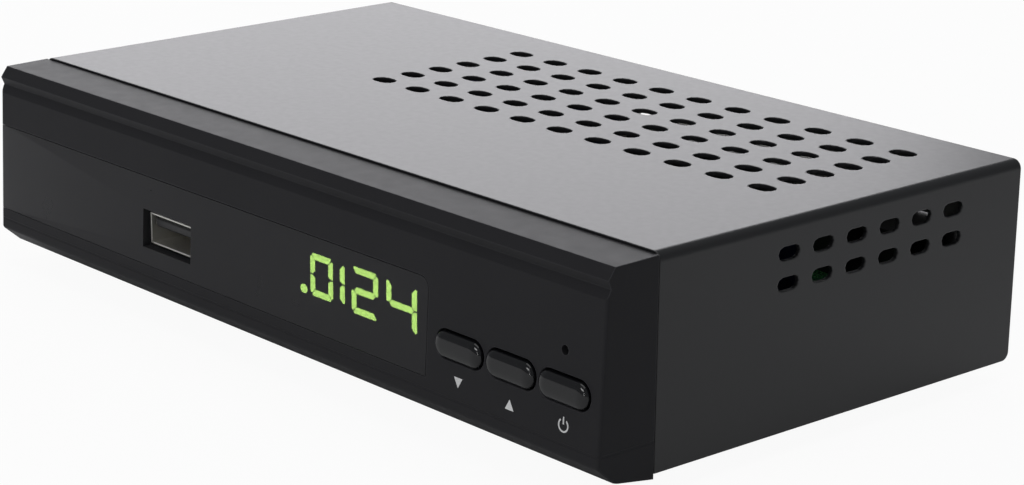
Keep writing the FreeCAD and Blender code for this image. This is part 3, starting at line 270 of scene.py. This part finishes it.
def bezel_plastic(name, colour):
    """The front's plastic: moulded grain, a painted highlight that makes its edges paler, and the fine parting
    line that runs low across the face. An edge is where the rounded normal leaves the face's own."""
    made = Finish(name, IOR=1.48, Specular_IOR_Level=0.1)
    body = made.mixed(made.noise(24.0, detail=3.0), darker(colour, 0.9), darker(colour, 1.1))
    rounded = made.add("ShaderNodeBevel", {"samples": 8}, {"Radius": 0.3 * MM}).out()
    own = made.add("ShaderNodeNewGeometry").out("True Normal")
    dot_product = {"operation": "DOT_PRODUCT"}
    along = made.add("ShaderNodeVectorMath", dot_product, {0: rounded, 1: own}).out("Value")
    # Painted highlight: the base colour turns paler along every edge, standing in for light caught by the
    # edges.
    made.feed("Base Color", made.mixed(along.below(0.91, soft=0.07), body, darker(colour, 2.2)))
    made.feed("Roughness", made.spread(made.noise(3.0, detail=3.0), 0.4, 0.44))
    line = (made.axis("Z") - (FLOOR_GAP + CREASE_HIGH)).size().below(0.12, soft=0.14)
    grain = made.noise(0.28, detail=3.0) * 0.12
    made.relief(grain - line, depth=0.1, rounding=0.25, strength=0.8)
    return made


ALONG_X, ALONG_Y = (0.15, 1.0, 1.0), (1.0, 0.1, 1.0)
FINISHES = {
    "cover_black": powder_coat("powder coated steel", (0.0095, 0.0095, 0.0105)),
    "chassis_zinc": plated("zinc plated sheet", (0.62, 0.63, 0.61), 0.34, ALONG_X),
    "foot_rubber": moulded("foot rubber", (0.018, 0.018, 0.018), rough=0.7, grain=0.2),
    "bezel_plastic": bezel_plastic("front plastic", (0.0215, 0.0212, 0.0232)),
    "window_smoke": smoked("smoked strip", (0.024, 0.0236, 0.0256), cover=0.94),
    "key_gloss": polished("key gloss", (0.005, 0.005, 0.006), rough=0.1),
    "stem_plastic": moulded("stem plastic", (0.03, 0.03, 0.03)),
    "switch_plastic": moulded("switch plastic", (0.02, 0.02, 0.022)),
    "board_green": circuit_board("circuit board", mask=(0.012, 0.085, 0.03), copper=(0.05, 0.19, 0.06)),
    "module_black": moulded("display module plastic", (0.006, 0.006, 0.006), rough=0.6),
    "segment_glow": lit_segment("lit segment", (0.5, 0.82, 0.18), glow=250.0),
    "eye_dark": polished("remote eye resin", (0.02, 0.006, 0.01)),
    "light_clear": polished("light resin", (0.35, 0.03, 0.02)),
    "shell_plate": plated("nickel plate", (0.8, 0.79, 0.74), 0.26, metal=0.86),
    "insulator_black": moulded("black insulator", (0.02, 0.02, 0.021)),
    "insulator_white": moulded("white insulator", (0.8, 0.79, 0.75)),
    "contact_gold": plated("gold plate", (0.83, 0.62, 0.27), 0.22),
    "tuner_tin": plated("tinned sheet", (0.7, 0.7, 0.68), 0.32),
    "chip_black": moulded("chip resin", (0.016, 0.016, 0.017), rough=0.55),
    "sink_black": plated("extruded aluminium", (0.5, 0.51, 0.53), 0.36, ALONG_Y),
    "crystal_can": plated("crystal can", (0.76, 0.76, 0.75), 0.2),
    "can_sleeve": polished("capacitor sleeve", (0.012, 0.016, 0.05), rough=0.3),
    "choke_red": polished("choke varnish", (0.22, 0.02, 0.012), rough=0.4),
    "collar_orange": collar("collar plastic", (0.62, 0.13, 0.02), body=(0.02, 0.02, 0.02)),
    "wire_white": moulded("ribbon insulation", (0.8, 0.8, 0.77), rough=0.4),
    "screw_steel": plated("screw plate", (0.34, 0.34, 0.35), 0.3),
}
SEGMENT_RIM = lit_segment("segment rim", (0.002, 0.006, 0.002), glow=1.0)
PRINT_WHITE = moulded("printed marks", (0.72, 0.72, 0.72), rough=0.5, grain=0.4, depth=0.003, rounding=0.0)


def dress_nodes():
    """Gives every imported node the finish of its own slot."""
    slots = {entry["node"]: entry["material_slot"] for entry in frame["record"]["subparts"]}
    for name, thing in frame["nodes"].items():
        thing.data.materials.clear()
        thing.data.materials.append(FINISHES[slots[name]].material)


def outward(points, faces):
    """Four-cornered faces of a closed piece, turned to point out: the corners' triple products add up to
    six times the volume within, which is negative where the faces point in."""
    a, b, c, d = (points[faces[:, k]] - points.mean(axis=0) for k in range(4))
    volume = np.sum(a * (np.cross(b, c) + np.cross(c, d)))
    return faces if volume > 0 else faces[:, ::-1]


def placed(name, points, faces, material):
    """An object at the origin from points in millimetres, with its place in its mesh."""
    mesh = bpy.data.meshes.new(name)
    mesh.from_pydata(np.asarray(points, float) * MM, [], faces)
    mesh.validate()
    mesh.materials.append(material)
    thing = bpy.data.objects.new(name, mesh)
    bpy.context.scene.collection.objects.link(thing)
    return thing


def surface(name, rings, slot, body, finish=None, sharp=None):
    """A piece from closed rings of points, each joined to the next; the grid is one array of rings by
    points. It is smooth but for edges sharper than an angle in degrees, or flat where none is given."""
    rings = np.asarray(rings, float)
    count, around = rings.shape[:2]
    row, column = np.meshgrid(np.arange(count - 1), np.arange(around), indexing="ij")
    here, beside = row * around + column, row * around + (column + 1) % around
    faces = np.stack([here, beside, beside + around, here + around], axis=-1).reshape(-1, 4)
    points = rings.reshape(-1, 3)
    thing = placed(name, points, outward(points, faces).tolist(), (finish or FINISHES[slot]).material)
    polygons = thing.data.polygons
    polygons.foreach_set("use_smooth", np.full(len(polygons), sharp is not None))
    if sharp:
        thing.data.set_sharp_from_angle(angle=math.radians(sharp))
    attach(thing, body)
    return thing


def standing(outline, depth, middle=(0.0, 0.0)):
    """A ring of points from an outline of X and Z about a middle, at one depth or a depth for each point."""
    across, up = (np.asarray(outline, float) + middle).T
    return np.stack([across, np.broadcast_to(depth, across.shape), up], axis=-1)


def rounded_box(half_wide, half_high, corner):
    """A rounded rectangle: a circle of the corner's radius, its quarters apart by the straight sides."""
    turn = np.linspace(0, 2 * np.pi, AROUND, endpoint=False) + np.pi / AROUND
    across = np.cos(turn) * corner + np.sign(np.cos(turn)) * (half_wide - corner)
    up = np.sin(turn) * corner + np.sign(np.sin(turn)) * (half_high - corner)
    return np.stack([across, up], axis=-1)


def pill(half_long, radius):
    """A pill: the rounded rectangle whose corners' radius is half its height."""
    return rounded_box(half_long, radius, radius)


def key_cap(name, node, body):
    """A key: a dome, then a straight side, a flange behind the face and a post. The dome falls by its
    crown times one less the square root of one less the way from spine to rim raised to a power."""
    low, high = node_box(node)
    middle, front, back = ((low + high) / 2)[[0, 2]], low[1], high[1]
    half_long, radius, crown, shoulder = 5.55, 2.2, 1.05, 0.15
    power, fullness, steps = 2.6, 0.985, 15
    flange, flange_thick, flange_corner, post = FRONT + 2.65, 1.2, 0.4, 1.6
    half_wide, half_high = (high - low)[[0, 2]] / 2
    way = np.sin(np.linspace(0.0, 1.0, steps) * np.pi / 2)
    drop = crown * (1 - np.sqrt(1 - way**power * fullness))
    spine = half_long - radius
    dome = [pill(spine + radius * share, radius * share) for share in way]
    sections = list(zip(dome, front + drop))
    rim, plate = pill(half_long, radius), rounded_box(half_wide, half_high, flange_corner)
    flange_back, stem = flange + flange_thick, pill(post, post)
    sections += [(rim, front + crown + shoulder), (rim, flange), (plate, flange), (plate, flange_back)]
    sections += [(stem, flange_back), (stem, back), (pill(0, 0), back)]
    rings = [standing(outline, depth, middle) for outline, depth in sections]
    cap = surface(name, rings, "key_gloss", body, sharp=40)
    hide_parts(node)


def threaded_barrel():
    """The aerial input: a turned barrel whose free length carries a thread. The radius falls below its
    largest by half the depth times one less the cosine of the height in pitches less the turn, so the
    valley climbs one pitch each turn. The thread fades in and out over its run."""
    low, high = node_box("aerial_barrel")
    centre, start, end = (low + high) / 2, low[1], high[1]
    flange, neck, radius, bore = (high - low)[0] / 2, 4.46, 4.76, 2.9
    panel, thread = start + 2.0, start + 5.8
    pitch, depth, run, chamfer, mouth, past_neck = 0.79, 0.42, 0.8, 0.5, 0.25, 0.02
    turn = np.linspace(0, 2 * np.pi, AROUND, endpoint=False)
    heights = np.arange(thread + past_neck, end - chamfer, pitch / 10)[:, None]
    wave = 0.5 - 0.5 * np.cos(2 * np.pi * heights / pitch - turn)
    fade = np.clip((heights - thread) / run, 0, 1) * np.clip((end - chamfer - heights) / run, 0, 1)
    plain = [(bore, start), (flange, start), (flange, panel), (neck, panel), (neck, thread)]
    tip = [(radius, end - chamfer), (radius - chamfer, end), (bore + mouth, end), (bore, end - mouth)]
    tip.append((bore, start))
    plain, tip = (np.array(corners)[:, :, None] * np.ones(AROUND) for corners in (plain, tip))
    threaded = np.stack([radius - depth * wave * fade, heights * np.ones(AROUND)], axis=1)
    both = np.concatenate([plain, threaded, tip])
    across, up = centre[0] + both[:, 0] * np.cos(turn), centre[2] + both[:, 0] * np.sin(turn)
    rings = np.stack([across, both[:, 1], up], axis=-1)
    barrel = surface("aerial_thread", rings, "shell_plate", "case", sharp=45)
    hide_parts("aerial_barrel")


def face_depth(height):
    """How deep the leaning face lies at a height over the floor: a straight line from chin to brow."""
    return FRONT + FACE_TOP_DEPTH - FACE_LEAN * (FLOOR_GAP + FACE_TOP - height) / FACE_TALL


def turning(outline):
    """1 for an anticlockwise outline and -1 for a clockwise one, by the sign of its area."""
    x, z = np.asarray(outline, float).T
    return int(np.sign(np.sum(x * np.roll(z, -1) - np.roll(x, -1) * z)))


def plates(name, outlines, back, front, finish):
    """Thin flat plates: each outline, turned anticlockwise, is lifted from a back depth to a front one and
    closed by its own face at both."""
    points, faces, start = [], [], 0
    for outline in outlines:
        count = len(outline)
        outline = outline[::turning(outline)]
        points += [standing(outline, back), standing(outline, front)]
        rim, next_rim = np.arange(count) + start, np.roll(np.arange(count), -1) + start
        faces += np.stack([rim, next_rim, next_rim + count, rim + count], axis=-1).tolist()
        faces += [(rim + count).tolist(), rim[::-1].tolist()]
        start += 2 * count
    thing = placed(name, np.concatenate(points), faces, finish.material)
    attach(thing, "case")
    return thing


def grown(outline, by):
    """A convex outline moved outwards: each corner goes along its two edges' outward normals, added and
    divided by one plus their dot product."""
    corners = np.asarray(outline, float)
    edge = np.roll(corners, -1, axis=0) - corners
    normal = np.stack([edge[:, 1], -edge[:, 0]], axis=-1) * turning(corners)
    normal /= np.linalg.norm(normal, axis=1, keepdims=True)
    before = np.roll(normal, 1, axis=0)
    return corners + by * (before + normal) / (1 + np.sum(before * normal, axis=1, keepdims=True))


def numeral(lit, left, right, low, high):
    """The lit bars of one numeral between its edges, lettered clockwise from the top with g across the
    middle. Bars meet at mitred corners with a fine gap, and the sharp tip of each outer end is cut off."""
    wide, tall, gap, tip, cut = 1.2, 1.1, 0.16, 0.5, 0.3
    middle, side, end = (low + high) / 2, wide * cut, tall * cut
    bars = {
        "a": [(left + gap + tip, high), (right - gap - tip, high), (right - gap - side, high - end),
              (right - wide, high - tall), (left + wide, high - tall), (left + gap + side, high - end)],
        "b": [(right, high - gap - tip), (right, middle + gap), (right - wide / 2, middle + gap),
              (right - wide, middle + tall / 2), (right - wide, high - tall - gap),
              (right - side, high - gap - end)],
        "c": [(right, middle - gap), (right, low + gap + tip), (right - side, low + gap + end),
              (right - wide, low + tall + gap), (right - wide, middle - tall / 2),
              (right - wide / 2, middle - gap)],
        "d": [(left + gap + tip, low), (left + gap + side, low + end), (left + wide, low + tall),
              (right - wide, low + tall), (right - gap - side, low + end), (right - gap - tip, low)],
        "e": [(left, middle - gap), (left + wide / 2, middle - gap), (left + wide, middle - tall / 2),
              (left + wide, low + tall + gap), (left + side, low + gap + end), (left, low + gap + tip)],
        "f": [(left, high - gap - tip), (left + side, high - gap - end), (left + wide, high - tall - gap),
              (left + wide, middle + tall / 2), (left + wide / 2, middle + gap), (left, middle + gap)],
        "g": [(left + wide / 2 + gap, middle), (left + wide + gap, middle + tall / 2),
              (right - wide - gap, middle + tall / 2), (right - wide / 2 - gap, middle),
              (right - wide - gap, middle - tall / 2), (left + wide + gap, middle - tall / 2)],
    }
    return [bars[name] for name in lit]


def lit_figures():
    """The lit numerals and point, each bar over a slightly larger dark rim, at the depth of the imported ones.
    The numerals grow to the right: each has its lit bars and its left, right, low and high edges."""
    shown = [("abcdef", 10.8, 16.85, 16.45, 23.9), ("bc", 18.5, 20.0, 16.45, 24.0),
             ("abdeg", 21.9, 28.8, 16.15, 24.2), ("bcfg", 31.0, 38.7, 16.05, 24.5)]
    outlines = [bar for lit, *edges in shown for bar in numeral(lit, *edges)]
    point_middle, point_half, corners = (8.9, 17.05), (0.95, 0.8), 12
    thick, rim_thick, rim_wide = 0.06, 0.04, 0.22
    turn = np.linspace(0, 2 * np.pi, corners, endpoint=False)
    outlines.append(np.stack([np.cos(turn), np.sin(turn)], axis=-1) * point_half + point_middle)
    front = node_box("display_segments")[0][1]
    lit = plates("lit_bars", outlines, front + thick, front, FINISHES["segment_glow"])
    rims = [grown(outline, rim_wide) for outline in outlines]
    plates("lit_rims", rims, front + thick + rim_thick, front + thick, SEGMENT_RIM)
    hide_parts("display_segments")


def key_collars():
    """The sloped rim in each key's opening, a closed ring. Its section runs from the face's edge inwards
    and back, short of the key: how far it stands in from the opening, and how deep behind the face."""
    half_long, radius = 5.95, 2.6
    section = [(0.0, -0.01), (0.02, 0.04), (0.23, 0.55), (0.25, 1.5), (0.0, 1.5), (0.0, -0.01)]
    for name in KEYS:
        low, high = node_box(f"button_{name}")
        middle = ((low + high) / 2)[[0, 2]]
        rings = []
        for inset, sunk in section:
            outline = pill(half_long - inset, radius - inset) + middle
            rings.append(standing(outline, face_depth(outline[:, 1]) + sunk))
        surface(f"key_collar_{name}", rings, "bezel_plastic", "case", sharp=180)


def strip_outline(left, right, bottom, top, corner):
    """A rectangle, from its lower left corner anticlockwise, whose upper right corner is a quarter circle.
    Each of its sides and its bend has the same number of points, so that two such outlines match."""
    share = np.linspace(0, 1, 24, endpoint=False)
    bend = share * np.pi / 2
    return np.concatenate([
        np.stack([left + (right - left) * share, np.full_like(share, bottom)], axis=-1),
        np.stack([np.full_like(share, right), bottom + (top - corner - bottom) * share], axis=-1),
        np.stack([right - corner * (1 - np.cos(bend)), top - corner * (1 - np.sin(bend))], axis=-1),
        np.stack([right - corner + (left - right + corner) * share, np.full_like(share, top)], axis=-1),
        np.stack([np.full_like(share, left), top + (bottom - top) * share], axis=-1),
    ])


def smoked_strip():
    """The smoked strip, its left end rounded like the case's edge: bands run from the back of the outer
    outline over its face, eased back by a quarter circle at the left end, to the back of the hole round
    the data socket, and close across the strip's back."""
    low, high = node_box("display_window")
    back, corner, ease = high[1], 2.0, 0.5
    hole_half_wide, hole_half_high, hole_corner = 7.35, 3.5, 0.35
    socket_low, socket_high = node_box("usb_shell")
    across, up = ((socket_low + socket_high) / 2)[[0, 2]]
    outer = strip_outline(low[0], high[0], low[2], high[2], corner)
    hole = strip_outline(across - hole_half_wide, across + hole_half_wide,
                         up - hole_half_high, up + hole_half_high, hole_corner)
    at_left = (outer[:, 0] < low[0] + 0.01).astype(float)
    rings = [standing(outer, back)]
    for turn in np.radians((0, 22, 45, 67, 90)):
        eased = outer + np.stack([at_left * ease * (1 - np.cos(turn)), 0 * at_left], axis=-1)
        rings.append(standing(eased, face_depth(outer[:, 1]) + at_left * ease * (1 - np.sin(turn))))
    rings += [standing(hole, face_depth(hole[:, 1])), standing(hole, back), rings[0]]
    strip = surface("smoked_strip", rings, "window_smoke", "case", sharp=30)
    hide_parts("display_window")


def printed(name, outer, inner):
    """A flat printed mark on the face: a closed band between two outlines of the same number of points."""
    proud = 0.03
    sections = [(outer, 0.0), (outer, proud), (inner, proud), (inner, 0.0), (outer, 0.0)]
    rings = [standing(outline, face_depth(outline[:, 1]) - lift) for outline, lift in sections]
    surface(name, rings, "wire_white", "case", PRINT_WHITE)


def key_marks():
    """The printed marks under the keys: a triangle down, a triangle up, and the power sign, which is a ring
    broken at its top with a bar in the break."""
    nearly = 0.02  # how small the inner outline of a filled mark is
    corners = np.array([(-1.0, 0.85), (1.0, 0.85), (0.0, -0.85)])
    for name, place, sign in (("mark_down", (51.55, 12.35), 1), ("mark_up", (63.75, 12.15), -1)):
        outline = corners * (1, sign) + place
        middle = outline.mean(axis=0)
        printed(name, outline, middle + (outline - middle) * nearly)
    place, outside, inside, half_break = (76.0, 12.3), 1.15, 0.88, 38
    turn = np.radians(np.linspace(90 + half_break, 450 - half_break, 48))
    arc = np.stack([np.cos(turn), np.sin(turn)], axis=-1)
    spine, half_spine = (outside + inside) / 2, 0.001

    def band(outer_radius, inner_radius):
        return np.concatenate([arc * outer_radius, arc[::-1] * inner_radius]) + place

    printed("mark_power_ring", band(outside, inside), band(spine + half_spine, spine - half_spine))
    bar = np.array([(-0.14, 0.15), (0.14, 0.15), (0.14, 1.35), (-0.14, 1.35)])
    printed("mark_power_bar", bar + place, bar * (0.05, 1.0) + place)


def panel(name, size, place, target, power, colour=(1.0, 1.0, 1.0)):
    """A soft four-sided lamp at a place, aimed at a target, all in millimetres."""
    lamp = bpy.data.lights.new(name, "AREA")
    lamp.color = colour
    lamp.shape = "RECTANGLE"
    lamp.size, lamp.size_y = size[0] * MM, size[1] * MM
    lamp.energy = power
    thing = bpy.data.objects.new(name, lamp)
    thing.location = Vector(place) * MM
    thing.rotation_euler = (Vector(target) - Vector(place)).to_track_quat("-Z", "Y").to_euler()
    bpy.context.scene.collection.objects.link(thing)


def light_scene():
    """A white surround for the camera, dim for the rest; a broad bright wall behind that the cover mirrors;
    soft lamps over the front and the top; and two small ones that put highlights on the keys' right ends."""
    world = bpy.data.worlds.new("surround")
    world.use_nodes = True
    bpy.context.scene.world = world
    tree = world.node_tree
    backdrop = tree.nodes["Background"]
    backdrop.inputs["Color"].default_value = (1.0, 1.0, 1.0, 1.0)
    backdrop.inputs["Strength"].default_value = 1.0
    around = tree.nodes.new("ShaderNodeBackground")
    around.inputs["Color"].default_value = (0.93, 0.96, 1.0, 1.0)
    around.inputs["Strength"].default_value = 0.22
    path = tree.nodes.new("ShaderNodeLightPath")
    mix = tree.nodes.new("ShaderNodeMixShader")
    tree.links.new(path.outputs["Is Camera Ray"], mix.inputs[0])
    tree.links.new(around.outputs[0], mix.inputs[1])
    tree.links.new(backdrop.outputs[0], mix.inputs[2])
    tree.links.new(mix.outputs[0], tree.nodes["World Output"].inputs["Surface"])
    wall_tint = (0.98, 0.97, 1.0)
    panel("back wall light", (1300, 700), (-1092, 568, 420), (0, 0, 30), power=6.3, colour=wall_tint)
    panel("front light", (500, 260), (150, -1000, 620), (0, 0, 20), power=2.6)
    panel("top light", (900, 900), (100, 0, 1100), (0, 0, 0), power=3.6)
    for level in (90, 250):
        panel(f"key glint {level}", (44, 60), (400, -880, level), (76, -50, 15), power=0.2)


def floor():
    """A pale floor that the camera sees as nearly white paper, with the receiver's own soft shadow on it."""
    white, reach, squares, drop = (1.0, 1.0, 1.0, 1.0), 4000, 8, 0.02
    finish = Finish("floor paper", Roughness=0.9)
    finish.feed("Base Color", finish.mixed(finish.noise(40.0), (0.86, 0.86, 0.86), (0.9, 0.9, 0.9)))
    finish.shader.inputs["Emission Color"].default_value = white
    tree = finish.tree
    path = finish.add("ShaderNodeLightPath")
    paper = finish.add("ShaderNodeEmission", None, {"Color": white, "Strength": 1.0})
    seen = finish.add("ShaderNodeMixShader", None, {0: 0.94})
    tree.links.new(finish.shader.outputs[0], seen.node.inputs[1])
    tree.links.new(paper.node.outputs[0], seen.node.inputs[2])
    both = finish.add("ShaderNodeMixShader", None, {0: path.out("Is Camera Ray")})
    tree.links.new(finish.shader.outputs[0], both.node.inputs[1])
    tree.links.new(seen.node.outputs[0], both.node.inputs[2])
    tree.links.new(both.node.outputs[0], tree.nodes["Material Output"].inputs["Surface"])
    lines = np.linspace(-reach, reach, squares + 1)
    across, deep = np.meshgrid(lines, lines, indexing="ij")
    points = np.stack([across, deep, np.full_like(across, -drop)], axis=-1).reshape(-1, 3)
    row, column = np.meshgrid(np.arange(squares), np.arange(squares), indexing="ij")
    corner = (row * (squares + 1) + column).reshape(-1)
    next_row = corner + squares + 1
    faces = np.stack([corner, next_row, next_row + 1, corner + 1], axis=-1)
    placed("floor", points, faces.tolist(), finish.material)


def camera():
    """The photograph's own view: azimuth, height and roll of the line of sight, its distance from a target
    on the case, how far it slides to the side and up, and the lens in pixels of the photograph."""
    azimuth, elevation, roll = (math.radians(a) for a in (49.791, 17.903, 0.245))
    distance, slide, lift, focal = 501.811, 10.855, 20.821, 2764.633
    width, height, centre_across, centre_down = 1024, 485, 447.225, 304.205
    target = Vector((0.0, FRONT + 55.0, FLOOR_GAP + 20.0))
    level = math.cos(elevation)
    back = Vector((math.sin(azimuth) * level, -math.cos(azimuth) * level, math.sin(elevation)))
    level_right = Vector((0, 0, 1)).cross(back).normalized()
    level_up = back.cross(level_right)
    right = level_right * math.cos(roll) + level_up * math.sin(roll)
    up = level_up * math.cos(roll) - level_right * math.sin(roll)
    place = target - right * slide - up * lift + back * distance
    lens = bpy.data.cameras.new("photograph view")
    lens.sensor_width = 36.0
    lens.lens = focal / width * lens.sensor_width
    lens.shift_x = (width / 2 - centre_across) / width
    lens.shift_y = (centre_down - height / 2) / width
    lens.clip_start, lens.clip_end = 0.01, 50.0
    thing = bpy.data.objects.new("photograph view", lens)
    thing.matrix_world = Matrix.Translation(place * MM) @ Matrix((right, up, back)).transposed().to_4x4()
    bpy.context.scene.collection.objects.link(thing)
    bpy.context.scene.camera = thing


dress_nodes()
for key in KEYS:
    key_cap(f"key_cap_{key}", f"button_{key}", f"key_{key}")
threaded_barrel()
key_marks()
key_collars()
lit_figures()
smoked_strip()
floor()
light_scene()
camera()
bpy.context.scene.view_settings.view_transform = "Standard"
